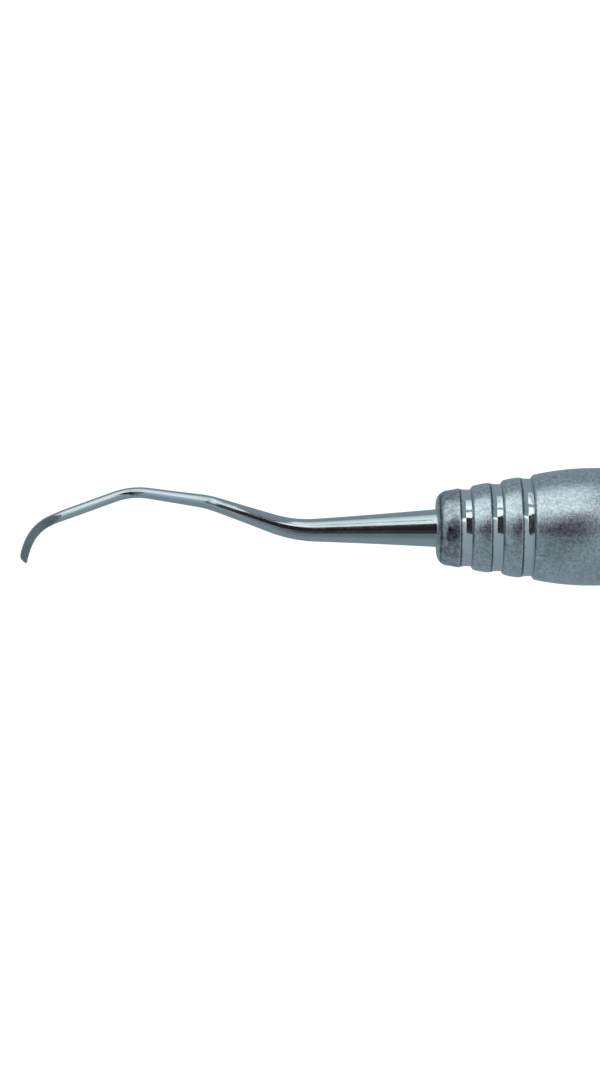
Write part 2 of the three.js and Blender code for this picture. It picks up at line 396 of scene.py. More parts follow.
def centreline(spacing):
    """Points in mm along the front working end, from the tang's end to the toe."""
    points = [Vector((tang, 0, 0)), Vector((0, 0, 0))]
    at = Vector((0, 0, 0))
    for leg, after in zip(LEGS, LEGS[1:]):
        along = direction(leg["heading"], leg["tilt"])
        onward = direction(after["heading"], after["tilt"])
        at = at + along * leg["length"]
        setback = leg["bend"] * math.tan(along.angle(onward) / 2)
        rounded = bow(at - along * setback, at, at + onward * setback, BEND_STEPS)
        points += [Vector(spot) for spot in rounded]
    last = direction(LEGS[-1]["heading"], LEGS[-1]["tilt"])
    heel = at + last * LEGS[-1]["length"]
    toe = heel + Vector((-HOOK_REACH, -HOOK_DROP, HOOK_SHIFT))
    heel_arm = heel + last * HEEL_PULL
    toe_arm = toe - direction(TOE_HEADING, 0) * TOE_PULL
    for step in range(HOOK_STEPS + 1):
        t = step / HOOK_STEPS
        a, b, c, d = (1 - t) ** 3, 3 * t * (1 - t) ** 2, 3 * t * t * (1 - t), t**3
        points.append(heel * a + heel_arm * b + toe_arm * c + toe * d)
    return evenly(points, spacing), heel


route, heel_spot = centreline(ROUTE_SPACING)
bar_length = sum((b - a).length for a, b in zip(route, route[1:]))
heel_index = min(range(len(route)), key=lambda i: (route[i] - heel_spot).length)
heel_at = heel_index * ROUTE_SPACING
print("bar length", round(bar_length, 2), "heel at", round(heel_at, 2))

# %% [markdown]
# Now the bar can be turned. The shank tapers by a formula, and from just before the heel the
# bar is as thick as the blade will be from its centreline to its back, down to a round toe.

# %% Turn the bar
BAR_SIDES = 64
HEEL_RADIUS = 0.425
TOE_RADIUS = 0.335
TOE_ROUND = 0.75
TOE_STEPS = 12
BLADE_STEP = 0.08
SHANK_STEP = 0.4
HEEL_BLEND = 0.6
blade_from = heel_at - HEEL_BLEND


def back_radius(along):
    """From the centreline to the back of the blade, which gets thinner towards the toe."""
    if along < blade_from:
        return shank_radius(along - tang)
    if along < heel_at:
        share = (along - blade_from) / (heel_at - blade_from)
        return SHANK_SLIM / 2 + (HEEL_RADIUS - SHANK_SLIM / 2) * share
    return HEEL_RADIUS + (TOE_RADIUS - HEEL_RADIUS) * (along - heel_at) / (bar_length - heel_at)


def bar_outline():
    """The outline of tang, shank, blade and round toe, in metres from the tang's end."""
    points = [(0, 0), (0, shank_radius(0)), (tang, shank_radius(0))]
    steps = round((blade_from - tang) / SHANK_STEP)
    for step in range(1, steps + 1):
        along = tang + (blade_from - tang) * step / steps
        points.append((along, shank_radius(along - tang)))
    toe_from = bar_length - TOE_ROUND
    steps = round((toe_from - blade_from) / BLADE_STEP)
    for step in range(1, steps + 1):
        along = blade_from + (toe_from - blade_from) * step / steps
        points.append((along, back_radius(along)))
    for step in range(1, TOE_STEPS + 1):
        angle = math.pi / 2 * step / TOE_STEPS
        along = toe_from + TOE_ROUND * math.sin(angle)
        points.append((along, back_radius(toe_from) * math.cos(angle)))
    return [(along * MM, radius * MM) for along, radius in points]


bar = turn("straight_bar", bar_outline(), BAR_SIDES)

# %% [markdown]
# ## Forging and grinding the blade
# Under the hammer the end of the bar spreads sideways. Ring after ring is selected by its
# place along X and scaled a little wider. Then the stone makes three flats: the face, which
# will lie on the inside of the hook, and two flanks that lean in towards the back. A flat is
# a bisect that throws away what is in front of the plane and fills the cut. The stone runs
# out at a shallow angle, so each flat ends in the thin sliver that real blades show.

# %% Spread the blade
SPREAD = 0.5
SPREAD_RUN = 1.1
FACE_STOCK = 0.25


def select_vertices(piece, wanted):
    """In edit mode, select just the vertices whose place passes the test."""
    bpy.ops.mesh.select_all(action="DESELECT")
    bpy.ops.object.mode_set(mode="OBJECT")
    for vertex in piece.data.vertices:
        vertex.select = wanted(vertex.co)
    bpy.ops.object.mode_set(mode="EDIT")


def ramp(value, low, high):
    """0 below low, 1 above high, and smooth in between, for plain numbers."""
    share = min(max((value - low) / (high - low), 0), 1)
    return share * share * (3 - 2 * share)


select_only(bar)
bpy.ops.object.mode_set(mode="EDIT")
bpy.ops.mesh.select_mode(type="VERT")
blade_rings = sorted({round(v.co.x, 8) for v in bar.data.vertices if v.co.x > blade_from * MM})
for place in blade_rings:
    share = ramp(place / MM, blade_from, heel_at + SPREAD_RUN)
    full = back_radius(place / MM)
    select_vertices(bar, lambda spot: abs(spot.x - place) < MERGE_DISTANCE)
    ring = max(v.co.z for v in bar.data.vertices if abs(v.co.x - place) < MERGE_DISTANCE)
    bpy.ops.transform.translate(value=(0, full * MM - ring, 0))
    bpy.ops.transform.resize(
        value=(1, 1 + FACE_STOCK * share, 1 + SPREAD * share),
        center_override=(place, -full * MM, 0),
    )
bpy.ops.object.mode_set(mode="OBJECT")
print("blade spread over", len(blade_rings), "rings")

# %% [markdown]
# Each flat is a point that the stone touches at the toe and the way the stone faces. The
# face follows the taper of the blade, and the two flanks are one setting and its mirror.

# %% Grind the flats
STONE_REACH = 7.5
SAME_WAY = 0.99999
FLANK_LEAN = 3
FLANK_AT_TOE = 0.29
FLANK_SLOPE = 0.03


def grind(piece, point, normal):
    """Cut away what lies in front of a plane at the blade, and close the cut with a flat."""
    select_vertices(piece, lambda spot: spot.x > (bar_length - STONE_REACH) * MM)
    bpy.ops.mesh.bisect(
        plane_co=point, plane_no=normal, use_fill=True, clear_outer=True, threshold=MERGE_DISTANCE
    )
    bpy.ops.mesh.select_all(action="DESELECT")


face_slope = (HEEL_RADIUS - TOE_RADIUS) / (bar_length - heel_at)
flats = [(Vector((bar_length, TOE_RADIUS, 0)) * MM, Vector((face_slope, 1, 0)).normalized())]
for side in (1, -1):
    lean = math.radians(FLANK_LEAN)
    outward = Vector((FLANK_SLOPE, -math.sin(lean), side * math.cos(lean))).normalized()
    flats.append((Vector((bar_length, 0, side * FLANK_AT_TOE)) * MM, outward))

select_only(bar)
bpy.ops.object.mode_set(mode="EDIT")
for point, normal in flats:
    grind(bar, point, normal)
bpy.ops.object.mode_set(mode="OBJECT")


def is_flat(polygon):
    """Whether a polygon lies on one of the three flats."""
    return any(
        polygon.normal.dot(normal) > SAME_WAY
        and abs((polygon.center - point).dot(normal)) < MERGE_DISTANCE
        for point, normal in flats
    )


bar.data.materials.append(bpy.data.materials.new("polished_shank"))
bar.data.materials.append(bpy.data.materials.new("ground_blade"))
for polygon in bar.data.polygons:
    polygon.material_index = 1 if is_flat(polygon) else 0
print("ground flats:", sum(p.material_index for p in bar.data.polygons))

# %% [markdown]
# A flat is one big polygon, and a polygon with no edges across it can't bend. So the flats
# are cut across at every ring before the bar is bent. Bisect only cuts what is selected.

# %% Cut the flats across
bar.active_material_index = 1
bpy.ops.object.mode_set(mode="EDIT")
bpy.ops.mesh.select_mode(type="FACE")
for step in range(1, int(STONE_REACH / BLADE_STEP)):
    place = (bar_length - step * BLADE_STEP) * MM
    bpy.ops.mesh.select_all(action="DESELECT")
    bpy.ops.object.material_slot_select()
    bpy.ops.mesh.bisect(plane_co=(place, 0, 0), plane_no=(1, 0, 0), threshold=MERGE_DISTANCE)
bpy.ops.mesh.select_all(action="SELECT")
bpy.ops.mesh.normals_make_consistent(inside=False)
bpy.ops.object.mode_set(mode="OBJECT")
print("bar:", len(bar.data.vertices), "vertices,", len(bar.data.polygons), "faces")

# %% [markdown]
# ## Bending
# The bar is bent by a Curve modifier: distance along X becomes distance along the curve, and
# the bar's Z stays upright. Before that, the straight places are kept as an attribute, so
# that polishing lines can follow the shank round its bends. The rear end is the front one
# turned through the handle's centre, which makes it the mirror-image partner.

# %% Bend both ends
straight = bar.data.attributes.new("straight", "FLOAT_VECTOR", "POINT")
places = [number for vertex in bar.data.vertices for number in vertex.co]
straight.data.foreach_set("vector", places)


def bend(name, nose, turned):
    """A copy of the bar bent along the centreline. Turned is 1 at the front, -1 at the rear."""
    spots = [Vector((nose, 0, 0)) + spot * MM * turned for spot in route]
    line = bpy.data.curves.new(name + "_line", "CURVE")
    line.dimensions = "3D"
    line.twist_mode = "Z_UP"
    spline = line.splines.new("POLY")
    spline.points.add(len(spots) - 1)
    for point, spot in zip(spline.points, spots):
        point.co = (*spot, 1)
    guide = bpy.data.objects.new(name + "_line", line)
    bpy.context.scene.collection.objects.link(guide)
    piece = bar.copy()
    piece.data = bar.data.copy()
    piece.name = name
    bpy.context.scene.collection.objects.link(piece)
    select_only(piece)
    bending = piece.modifiers.new("bend", "CURVE")
    bending.object = guide
    bending.deform_axis = "POS_X"
    bpy.ops.object.modifier_apply(modifier=bending.name)
    bpy.data.objects.remove(guide)
    return piece


front_end = bend("front_shank_and_blade", front_nose, 1)
rear_end = bend("rear_shank_and_blade", rear_nose, -1)
bpy.data.objects.remove(bar)
for piece in (front_end, rear_end):
    corners = [Vector(c) for c in piece.bound_box]
    print(piece.name, "X from", min(c.x for c in corners), "to", max(c.x for c in corners))

# %% [markdown]
# Turned steel is smooth, and the edges of the grooves and of the blade are crisp. So the
# pieces are shaded smooth, apart from edges where two faces meet at a clear angle.

# %% Smooth shading with crisp edges
SHARP_ANGLE = math.radians(28)
for piece in (front_ferrule, rear_ferrule, barrel, front_end, rear_end):
    select_only(piece)
    bpy.ops.object.shade_smooth_by_angle(angle=SHARP_ANGLE)
    print(piece.name, "shaded smooth,", len(piece.data.polygons), "faces")

# %% [markdown]
# ## Finishes
# Shader sums read best as sums. A Wire stands for a node's output, and adding or multiplying
# wires adds the Math nodes. Every other node is made by one method.

# %% Wires and nodes
class Wire:
    """The output of a node, which can be used in sums."""

    def __init__(self, finish, socket):
        self.finish = finish
        self.socket = socket

    def math(self, operation, first, second):
        """A Math node on two wires or numbers."""
        return self.finish.node("ShaderNodeMath", {"operation": operation}, {0: first, 1: second})

    def __add__(self, other):
        return self.math("ADD", self, other)

    def __sub__(self, other):
        return self.math("SUBTRACT", self, other)

    def __rsub__(self, other):
        return self.math("SUBTRACT", other, self)

    def __mul__(self, other):
        return self.math("MULTIPLY", self, other)

    __radd__ = __add__
    __rmul__ = __mul__


class Finish:
    """One material being wired up."""

    def __init__(self, material):
        material.use_nodes = True
        self.material = material
        self.tree = material.node_tree
        self.tree.nodes.clear()

    def node(self, kind, settings=None, sockets=None, result=0):
        """Add a node: first its settings, then values or wires for its sockets."""
        made = self.tree.nodes.new(kind)
        for name, value in (settings or {}).items():
            if name == "stops":
                set_stops(made.color_ramp, value)
            else:
                setattr(made, name, value)
        for key, value in (sockets or {}).items():
            if isinstance(value, Wire):
                self.tree.links.new(value.socket, made.inputs[key])
            else:
                made.inputs[key].default_value = value
        return Wire(self, made.outputs[result]) if made.outputs else made


def set_stops(ramp, stops):
    """Give a colour ramp its places and tones."""
    while len(ramp.elements) < len(stops):
        ramp.elements.new(0.5)
    for element, (place, colour) in zip(ramp.elements, stops):
        element.position = place
        element.color = (*colour, 1)


# %% [markdown]
# Four short helpers cover what the finishes share: noise whose size is in millimetres, a
# smooth step, a blend of two colours, and the metal shader that closes each material.

# %% Common wires
def noise(finish, place, size, detail=2.0, rough=0.5):
    """Noise from about 0 to 1 whose blotches are about size millimetres across."""
    return finish.node(
        "ShaderNodeTexNoise",
        {"noise_dimensions": "3D"},
        {"Vector": place, "Scale": 1 / (size * MM), "Detail": detail, "Roughness": rough},
    )


def between(finish, value, low, high):
    """0 below low, 1 above high, and smooth in between."""
    return finish.node(
        "ShaderNodeMapRange",
        {"interpolation_type": "SMOOTHSTEP"},
        {"Value": value, "From Min": low, "From Max": high},
    )


def mixed(finish, share, first, second):
    """A colour from first to second."""
    return finish.node(
        "ShaderNodeMix",
        {"data_type": "RGBA"},
        {0: share, 6: first, 7: second},
        result=2,
    )


def metal(finish, colour, roughness, height, bump):
    """Close the material with a metal shader, whose bump depth is in millimetres."""
    normal = finish.node(
        "ShaderNodeBump", None, {"Height": height, "Strength": 1.0, "Distance": bump * MM}
    )
    shader = finish.node(
        "ShaderNodeBsdfPrincipled",
        None,
        {"Base Color": colour, "Metallic": 1.0, "Roughness": roughness, "Normal": normal},
    )
    finish.node("ShaderNodeOutputMaterial", None, {"Surface": shader})


# %% [markdown]
# ### Bead-blasted steel
# Glass beads leave a skin of tiny dents. Up close it is a grain about 0.3 mm across in light
# and dark grey, under it a finer one that scatters the light, and over both a faint cloud.
# All of them change the colour. The grain and the cloud also change the roughness, and the grain
# and the fine one the height.

# %% The blasted grain
STEEL_LIGHT = (0.87, 0.91, 0.93, 1)
STEEL_DARK = (0.41, 0.43, 0.44, 1)
GRAIN_SIZE, FINE_SIZE, CLOUD_SIZE = 0.27, 0.1, 2.2


def blasted_grain(finish, place):
    """Grain, fine grain and cloud of the blasted skin."""
    grain = between(finish, noise(finish, place, GRAIN_SIZE, 4.0, 0.72), 0.34, 0.66)
    fine = noise(finish, place, FINE_SIZE, 2.0, 0.6)
    cloud = noise(finish, place, CLOUD_SIZE, 2.0, 0.5)
    return grain, fine, cloud


def within(finish, value, low, high, edge):
    """1 between low and high, fading to 0 over the edge width."""
    return between(finish, value, low - edge, low + edge) * (
        1 - between(finish, value, high - edge, high + edge)
    )


# %% [markdown]
# The grooves repeat, so the distance past the nose face is wrapped by their pitch, and one
# set of masks does for all three. The cutter leaves them bright. A thin dark line of painted
# shade runs along their feet, and a ragged one of dirt and painted shade along their lips.

# %% Masks of the grooves
LIP_REACH = 0.03
LIP_WIDTH = 0.1
FOOT_WIDTH = 0.1


def groove_masks(finish, past_nose, ragged):
    """Bright metal, a dark lip of dirt and painted shade, and a dark foot of painted shade, of
    every groove.
    """
    in_groove = finish.node(
        "ShaderNodeMath",
        {"operation": "WRAP"},
        {0: past_nose - FIRST_GROOVE, 1: GROOVE_PITCH, 2: 0.0},
    )
    rings_end = groove_at(LAST_GROOVE) + GROOVE_LENGTH
    on_rings = within(finish, past_nose, FIRST_GROOVE - 0.1, rings_end, 0.02)
    bright = within(finish, in_groove, STEP_LENGTH, GROOVE_LENGTH - 0.1, 0.03) * on_rings
    lip_dirt_and_shade = within(finish, in_groove + ragged, -LIP_REACH, STEP_LENGTH + LIP_WIDTH, 0.05) * on_rings
    # The dark foot is painted shade, where the floor meets the wall.
    foot = within(finish, in_groove, FLOOR_END, FLOOR_END + FOOT_WIDTH, 0.04) * on_rings
    return bright, lip_dirt_and_shade, foot


# %% [markdown]
# The heat of brazing has stained the collar next to the shank in blotches, and the collar
# has one darker patch besides. A thin dark line round the rim of the nose is painted shade.
# The patch is an ellipse with a ragged edge, placed by distance past the nose face and to the
# side.

# %% Mask of the stain, the dark patch and the painted shade at the rim
RIM_SHADE_START, RIM_SHADE_END = 0.24, 0.36
BLOTCH_SIZE = 0.7
PATCH_AT, PATCH_LENGTH = 1.15, 0.55
PATCH_SIDE, PATCH_WIDTH = -0.6, 0.75


def stain_and_shade_mask(finish, place, past_nose, side, ragged):
    """How strongly the collar is stained or darkened, with painted shade at the rim of the nose.
    """
    collar = within(finish, past_nose, 0.1, FIRST_GROOVE - 0.15, 0.25)
    blotch = between(finish, noise(finish, place, BLOTCH_SIZE, 4.0, 0.65), 0.42, 0.62)
    along = (past_nose - PATCH_AT) * (1 / PATCH_LENGTH)
    across = (side - PATCH_SIDE) * (1 / PATCH_WIDTH)
    # A darker patch on the collar, an ellipse beside the axis.
    dark_patch = 1 - between(finish, along * along + across * across + ragged * 2.0, 0.35, 1.1)
    # Painted shade: a thin dark line round the rim of the nose.
    rim_shade = within(finish, past_nose + ragged * 0.5, RIM_SHADE_START, RIM_SHADE_END, 0.06)
    return collar * (blotch * 0.42 + 0.2) + dark_patch * 0.42 + rim_shade * 0.55


# %% [markdown]
# The finish lays these over each other: the grain, then the stain with its dark patch and the
# painted shade at the rim, then the bright grooves, and last the dark lines at their edges,
# painted shade with some dirt. Bright metal is smoother, and a slow wave in its height breaks
# up what it reflects, as a cutter's marks do.

# %% The handle's finish
# This dark colour is the stain and the dark patch, and also painted shade at the rim of the nose
# and at the groove edges.
STAIN_AND_SHADE = (0.10, 0.105, 0.105, 1)
BRIGHT_STEEL = (0.74, 0.77, 0.78, 1)
RAGGED_SIZE, WAVE_SIZE = 0.3, 0.6
BLAST_DEPTH = 0.009


def handle_finish(name):
    """Blasted steel with a stained nose, painted shade at its rim and groove edges, and bright
    grooves, the same at both ends.
    """
    finish = Finish(bpy.data.materials.new(name))
    place = finish.node("ShaderNodeTexCoord", None, None, result="Object")
    x, y = (finish.node("ShaderNodeSeparateXYZ", None, {0: place}, result=a) for a in "XY")
    from_middle = finish.node("ShaderNodeMath", {"operation": "ABSOLUTE"}, {0: x}) * (1 / MM)
    past_nose = half_length - from_middle
    ragged = noise(finish, place, RAGGED_SIZE, 4.0, 0.65) * 0.26 - 0.13
    grain, fine, cloud = blasted_grain(finish, place)
    bright, lip_dirt_and_shade, foot = groove_masks(finish, past_nose, ragged)
    stain_and_shade = stain_and_shade_mask(finish, place, past_nose, y * (1 / MM), ragged)
    shade = grain * 0.62 + fine * 0.22 + cloud * 0.16
    colour = mixed(finish, shade, STEEL_DARK, STEEL_LIGHT)
    # Stain and dark patch, with painted shade round the rim of the nose.
    colour = mixed(finish, stain_and_shade, colour, STAIN_AND_SHADE)
    colour = mixed(finish, bright, colour, BRIGHT_STEEL)
    # Dark lines at the groove edges: painted shade, with dirt at the lips.
    colour = mixed(finish, lip_dirt_and_shade * 0.9 + foot * 0.6, colour, STAIN_AND_SHADE)
    rough = 0.2 + grain * 0.05 + cloud * 0.03
    roughness = rough * (1 - bright) + bright * (fine * 0.08 + 0.06)
    wave = noise(finish, place, WAVE_SIZE, 1.0, 0.4)
    height = (grain * 0.35 + fine * 0.65) * (1 - bright) + bright * wave * 1.9
    metal(finish, colour, roughness, height, BLAST_DEPTH)
    return finish.material


blasted_steel = handle_finish("blasted_steel")
for piece in (front_ferrule, rear_ferrule, barrel):
    piece.data.materials.append(blasted_steel)
print("blasted steel:", len(blasted_steel.node_tree.nodes), "nodes")

# %% [markdown]
# ### Polished steel
# The shank is polished to a mirror along its length. A real polish still has faint lines
# along the shank and soft smears from handling, which only show as small changes in the
# roughness. The straight places kept before bending let the lines follow the bends.

# %% The shank's finish
SHANK_DULL = (0.60, 0.635, 0.65, 1)
SHANK_CLEAR = (0.68, 0.70, 0.71, 1)
POLISH_DEPTH = 0.0015


def straight_place(finish):
    """Where each point was before bending."""
    return finish.node(
        "ShaderNodeAttribute", {"attribute_name": "straight"}, None, result="Vector"
    )


def stretched(finish, place, scale):
    """A place whose noise is drawn out along the axes that have a small scale."""
    return finish.node("ShaderNodeMapping", None, {"Vector": place, "Scale": scale})


def shank_finish(material):
    """Mirror polish with faint lines along the shank and soft smears."""
    finish = Finish(material)
    place = straight_place(finish)
    lines = noise(finish, stretched(finish, place, (0.06, 1, 1)), 0.05, 3.0, 0.6)
    smear = noise(finish, place, 1.6, 3.0, 0.55)
    colour = mixed(finish, smear, SHANK_DULL, SHANK_CLEAR)
    roughness = 0.05 + smear * 0.08 + lines * 0.05
    metal(finish, colour, roughness, lines * 0.5 + smear, POLISH_DEPTH)
    print(material.name, "has", len(finish.tree.nodes), "nodes")


shank_finish(bpy.data.materials["polished_shank"])

# %% [markdown]
# ### Ground steel
# The stone leaves the face and flanks of the blade duller and greyer than the shank, with
# fine lines across. Towards the heel they are painted darker, a painted reflection of dark
# surroundings.

# %% The blade's finish
BLADE_DARK = (0.31, 0.35, 0.37, 1)
BLADE_LIGHT = (0.53, 0.59, 0.62, 1)
# The colour of the painted dark reflection at the heel.
BLADE_SHADE = (0.10, 0.11, 0.115, 1)
GRIND_DEPTH = 0.003
HEEL_SHADE_START, HEEL_SHADE_END = heel_at - 0.4, heel_at + 2.6


def blade_finish(material):
    """Ground steel with fine lines across the blade, and a painted dark reflection at the heel."""
    finish = Finish(material)
    place = straight_place(finish)
    lines = noise(finish, stretched(finish, place, (1, 0.1, 0.1)), 0.03, 3.0, 0.7)
    cloud = noise(finish, place, 0.5, 2.0, 0.5)
    colour = mixed(finish, lines, BLADE_DARK, BLADE_LIGHT)
    along = finish.node("ShaderNodeSeparateXYZ", None, {0: place}, result="X") * (1 / MM)
    # Painted dark reflection, fading from the heel towards the toe.
    heel_shade = 1 - between(finish, along, HEEL_SHADE_START, HEEL_SHADE_END)
    colour = mixed(finish, heel_shade * 0.62, colour, BLADE_SHADE)
    roughness = 0.26 + lines * 0.12 + cloud * 0.06
    metal(finish, colour, roughness, lines, GRIND_DEPTH)
    print(material.name, "has", len(finish.tree.nodes), "nodes")


blade_finish(bpy.data.materials["ground_blade"])

# %% [markdown]
# ### Brazing alloy
# The rings of brazing alloy are inside the ferrules, where nobody sees them. The CAD rings
# have the right shape, so they stay, with a finish of their own: dull silver with a yellow
# cast and the soft pools that the alloy sets in.

# %% The braze's finish
ALLOY_YELLOW = (0.62, 0.56, 0.42, 1)
ALLOY_SILVER = (0.78, 0.74, 0.62, 1)
POOL_SIZE, POOL_DEPTH = 0.8, 0.01


def braze_finish():
    """Dull silver alloy in soft pools."""
    finish = Finish(bpy.data.materials.new("set_brazing_alloy"))
    place = finish.node("ShaderNodeTexCoord", None, None, result="Object")
    pools = noise(finish, place, POOL_SIZE, 3.0, 0.6)
    colour = mixed(finish, pools, ALLOY_YELLOW, ALLOY_SILVER)
    metal(finish, colour, 0.3 + pools * 0.2, pools, POOL_DEPTH)
    return finish.material


alloy = braze_finish()
for node in ("front_braze_ring", "rear_braze_ring"):
    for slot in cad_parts[node].material_slots:
        slot.material = alloy
    print(node, "keeps its CAD shape, in", alloy.name)

# %% [markdown]
# ## Joining the pieces to the frame
# Every piece rides on the one body and stands for its CAD node.

# %% Ride and replace
for piece, node, slot in (
    (front_ferrule, "front_ferrule", "satin_steel"),
    (rear_ferrule, "rear_ferrule", "satin_steel"),
    (barrel, "handle_barrel", "satin_steel"),
    (front_end, "front_working_end", "polished_steel"),
    (rear_end, "rear_working_end", "polished_steel"),
):
    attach(piece, "root")
    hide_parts(node)
    print(piece.name, "stands for", node)

# %% [markdown]
# ## The studio
# Polished steel has hardly any colour of its own. It shows what is around it, so the studio
# is made for the steel. A tent of cloth hangs over the handle, bright on the far side and
# grey on the near side. It is three strips of a big cylinder about the handle's axis, and
# their tones are given by angle, from straight up towards the far side. The strips differ
# because a blade's side, a groove and a round grip each want another edge of light.

# %% Tones of the tent
TENT_TONES = [
    (-84, (0.25, 0.335, 0.38)),
    (-66, (0.20, 0.265, 0.29)),
    (-50, (0.17, 0.22, 0.24)),
    (-34, (0.18, 0.23, 0.25)),
    (0, (0.44, 0.54, 0.60)),
    (16, (0.92, 1.02, 1.06)),
    (30, (1.08, 1.20, 1.23)),
    (48, (1.10, 1.24, 1.26)),
    (66, (0.92, 1.08, 1.14)),
    (78, (0.68, 0.84, 0.89)),
    (92, (0.50, 0.64, 0.69)),
    (104, (0.30, 0.40, 0.46)),
]
TIP_SIDE_TONES = [
    (-84, (0.25, 0.335, 0.38)),
    (-60, (0.26, 0.34, 0.39)),
    (-30, (0.30, 0.38, 0.43)),
    (0, (0.43, 0.54, 0.60)),
    (20, (0.50, 0.61, 0.68)),
    (27, (0.98, 1.14, 1.21)),
    (60, (1.02, 1.19, 1.26)),
    (78, (0.68, 0.84, 0.89)),
    (92, (0.50, 0.64, 0.69)),
    (104, (0.30, 0.40, 0.46)),
]
GRIP_SIDE_TONES = [
    (-84, (0.27, 0.355, 0.40)),
    (-28, (0.32, 0.40, 0.44)),
    (-5, (0.36, 0.44, 0.48)),
    (9, (0.58, 0.70, 0.75)),
    (17, (1.25, 1.42, 1.46)),
    (60, (1.15, 1.33, 1.38)),
    (78, (0.80, 0.98, 1.03)),
    (104, (0.35, 0.45, 0.50)),
]
print("tent tones:", len(TIP_SIDE_TONES), len(TENT_TONES), len(GRIP_SIDE_TONES))

# %% [markdown]
# Each strip is a straight edge spun about the handle's axis. It glows by itself, so no lamp
# is needed, and its colour comes from a ramp over the angle. Only the steel's reflections
# see it: the lens and the floor don't, and it casts no shadow.

# %% The tent
TENT_STEPS = 48
TENT_RADIUS = 0.6
TENT_ENDS = (-0.9, -0.215, -0.04, 0.6)


def seen_by_steel_only(piece):
    """Hide a stage piece from all but reflections."""
    for ray in ("visible_camera", "visible_diffuse", "visible_shadow"):
        setattr(piece, ray, False)


def tent(name, radius, left, right, tones):
    """A strip round the handle's axis that glows with a tone for each angle in degrees."""
    first, last = tones[0][0], tones[-1][0]
    edge = math.radians(first)
    strip = start_at(name, (left, radius * math.sin(edge), radius * math.cos(edge)))
    bpy.ops.mesh.extrude_vertices_move(TRANSFORM_OT_translate={"value": (right - left, 0, 0)})
    bpy.ops.mesh.select_all(action="SELECT")
    sweep = math.radians(last - first)
    bpy.ops.mesh.spin(steps=TENT_STEPS, angle=sweep, center=(0, 0, 0), axis=(1, 0, 0))
    bpy.ops.object.mode_set(mode="OBJECT")
    cloth = Finish(bpy.data.materials.new(name))
    place = cloth.node("ShaderNodeTexCoord", None, None, result="Object")
    y, z = (cloth.node("ShaderNodeSeparateXYZ", None, {0: place}, result=axis) for axis in "YZ")
    angle = cloth.node("ShaderNodeMath", {"operation": "ARCTAN2"}, {0: y, 1: z})
    share = (angle - math.radians(first)) * (1 / sweep)
    stops = [((at - first) / (last - first), tone) for at, tone in tones]
    tone = cloth.node("ShaderNodeValToRGB", {"stops": stops}, {"Fac": share})
    light = cloth.node("ShaderNodeEmission", None, {"Color": tone, "Strength": 1.0})
    cloth.node("ShaderNodeOutputMaterial", None, {"Surface": light})
    strip.data.materials.append(cloth.material)
    seen_by_steel_only(strip)
    print(name, "covers", first, "to", last, "degrees")


for number, (name, tones) in enumerate(
    [("tip_side_tent", TIP_SIDE_TONES), ("tent", TENT_TONES), ("grip_side_tent", GRIP_SIDE_TONES)]
):
    tent(name, TENT_RADIUS, TENT_ENDS[number], TENT_ENDS[number + 1], tones)

# %% [markdown]
# Dark shapes give polished steel its dark bands. Two ribs hang just inside the tent, and
# grey strips stand at the side of the grip, with a dark foot. A flag round the lens makes
# the long dark band on the shank, a leaning pole makes a thin mark beside it, and a flag at
# the far end darkens the end of the blade. Flat flags are drawn corner by corner.

# %% Flags
def glow(name, colour):
    """A material of one tone that glows by itself."""
    finish = Finish(bpy.data.materials.new(name))
    light = finish.node("ShaderNodeEmission", None, {"Color": (*colour, 1), "Strength": 1.0})
    finish.node("ShaderNodeOutputMaterial", None, {"Surface": light})
    return finish.material


def flag(name, corners, colour):
    """A flat card with these corners, of one tone."""
    card = start_at(name, corners[0])
    for before, after in zip(corners, corners[1:] + corners[:1]):
        step = tuple(b - a for a, b in zip(before, after))
        bpy.ops.mesh.extrude_vertices_move(TRANSFORM_OT_translate={"value": step})
    bpy.ops.mesh.select_all(action="SELECT")
    bpy.ops.mesh.remove_doubles(threshold=MERGE_DISTANCE)
    bpy.ops.mesh.edge_face_add()
    bpy.ops.object.mode_set(mode="OBJECT")
    card.data.materials.append(glow(name, colour))
    seen_by_steel_only(card)
    print(name, "has", len(card.data.polygons), "face of", len(card.data.vertices), "corners")


# %% Ribs and side flags
RIB_RADIUS, FLAG_RADIUS = 0.59, 0.55
RIB_GREY = (0.26, 0.31, 0.34)
SIDE_LOW, SIDE_HIGH = (0.22, 0.30, 0.35), (0.26, 0.35, 0.41)
LEAF_LOW, LEAF_HIGH = (0.36, 0.44, 0.48), (0.42, 0.50, 0.54)
FOOT_DARK = (0.022, 0.024, 0.032)
for name, radius, left, right, first, low_tone, last, high_tone in (
    ("shank_rib", RIB_RADIUS, -0.215, -0.10, 48, RIB_GREY, 55, RIB_GREY),
    ("groove_rib", RIB_RADIUS, -0.036, 0.014, 48, RIB_GREY, 55, RIB_GREY),
    ("side_flag", FLAG_RADIUS, 0.008, 0.085, 43, SIDE_LOW, 112, SIDE_HIGH),
    ("side_flag_end", FLAG_RADIUS, 0.085, 0.30, 28, SIDE_LOW, 112, SIDE_HIGH),
    ("side_flag_leaf", FLAG_RADIUS, 0.13, 0.30, -12, LEAF_LOW, 21, LEAF_HIGH),
    ("side_flag_foot", FLAG_RADIUS, 0.022, 0.085, 30, FOOT_DARK, 43, FOOT_DARK),
):
    tent(name, radius, left, right, [(first, low_tone), (last, high_tone)])

